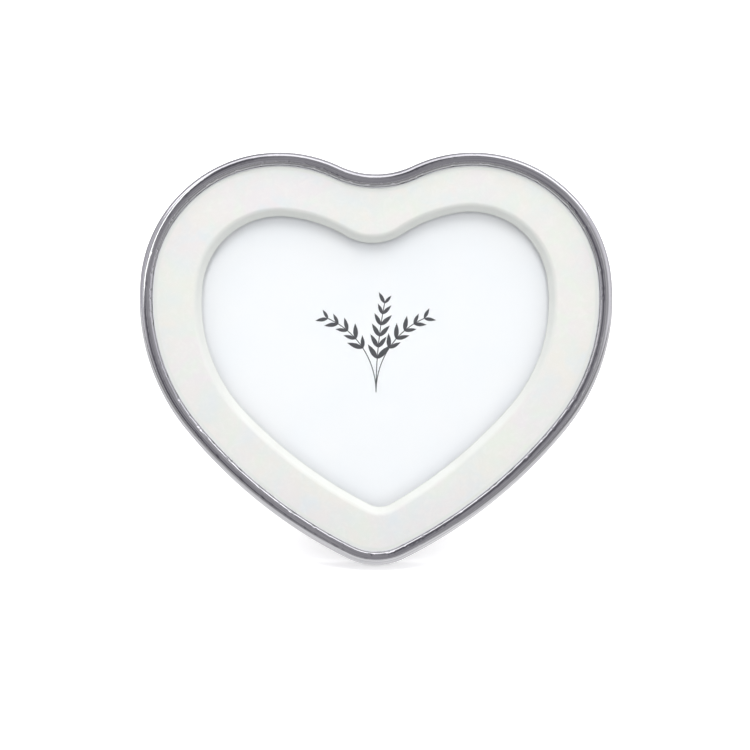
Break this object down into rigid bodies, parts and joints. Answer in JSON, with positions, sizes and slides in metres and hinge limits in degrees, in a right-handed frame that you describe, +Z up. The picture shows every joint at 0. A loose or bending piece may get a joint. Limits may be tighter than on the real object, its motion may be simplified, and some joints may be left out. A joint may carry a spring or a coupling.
{
  "type": "heart shaped photo frame",
  "caption": "Heart shaped table photo frame: polished cast metal with a raised rim, an enamelled face, a glazed opening and a folding easel back.",
  "frame": {"origin": "middle of the bounding box, on the surface that the frame stands on", "axes": "+X to the right for a viewer in front, +Y from the face to the easel leg, +Z up; the face leans back and looks towards -Y"},
  "size_m": [0.1518, 0.0604, 0.1291],
  "materials": {
    "polished_metal": "hand polished sand casting",
    "pearl_enamel": "glossy off-white enamel with a faint pearl",
    "clear_glass": "clear float glass",
    "insert_paper": "smooth coated paper",
    "grey_card": "plain grey card",
    "fibre_board": "medium density fibre board",
    "black_velvet": "short pile velvet, glued on",
    "plated_steel": "bright nickel plate"
  },
  "bodies": {
    "frame": {"frame_casting": "polished_metal", "enamel_border": "pearl_enamel", "glass_pane": "clear_glass", "photo_print": "insert_paper", "filler_card": "grey_card", "backing_board": "fibre_board", "backing_velvet": "black_velvet", "hinge_board_leaf": "plated_steel", "hinge_pin": "plated_steel", "board_rivets": "plated_steel", "button_screws": "plated_steel"},
    "easel": {"easel_leg": "fibre_board", "leg_velvet": "black_velvet", "hinge_leg_leaf": "plated_steel", "leg_rivets": "plated_steel"},
    "turn_button_cleft": {"turn_button_cleft": "plated_steel"},
    "turn_button_upper_right": {"turn_button_upper_right": "plated_steel"},
    "turn_button_upper_left": {"turn_button_upper_left": "plated_steel"},
    "turn_button_lower_right": {"turn_button_lower_right": "plated_steel"},
    "turn_button_lower_left": {"turn_button_lower_left": "plated_steel"}
  },
  "joints": [
    {"name": "easel_hinge", "type": "hinge", "parent": "frame", "child": "easel", "pos_m": [0, 0.00728, 0.08553], "axis": [1, 0, 0], "range_deg": [-30, 0]},
    {"name": "button_cleft_swivel", "type": "hinge", "parent": "frame", "child": "turn_button_cleft", "pos_m": [0, 0.01105, 0.1063], "axis": [0, -0.9613, 0.2756], "continuous": true},
    {"name": "button_upper_right_swivel", "type": "hinge", "parent": "frame", "child": "turn_button_upper_right", "pos_m": [0.03747, 0.01342, 0.11458], "axis": [0, -0.9613, 0.2756], "continuous": true},
    {"name": "button_upper_left_swivel", "type": "hinge", "parent": "frame", "child": "turn_button_upper_left", "pos_m": [-0.03747, 0.01342, 0.11458], "axis": [0, -0.9613, 0.2756], "continuous": true},
    {"name": "button_lower_right_swivel", "type": "hinge", "parent": "frame", "child": "turn_button_lower_right", "pos_m": [0.05131, -0.00641, 0.04542], "axis": [0, -0.9613, 0.2756], "continuous": true},
    {"name": "button_lower_left_swivel", "type": "hinge", "parent": "frame", "child": "turn_button_lower_left", "pos_m": [-0.05131, -0.00641, 0.04542], "axis": [0, -0.9613, 0.2756], "continuous": true}
  ]
}
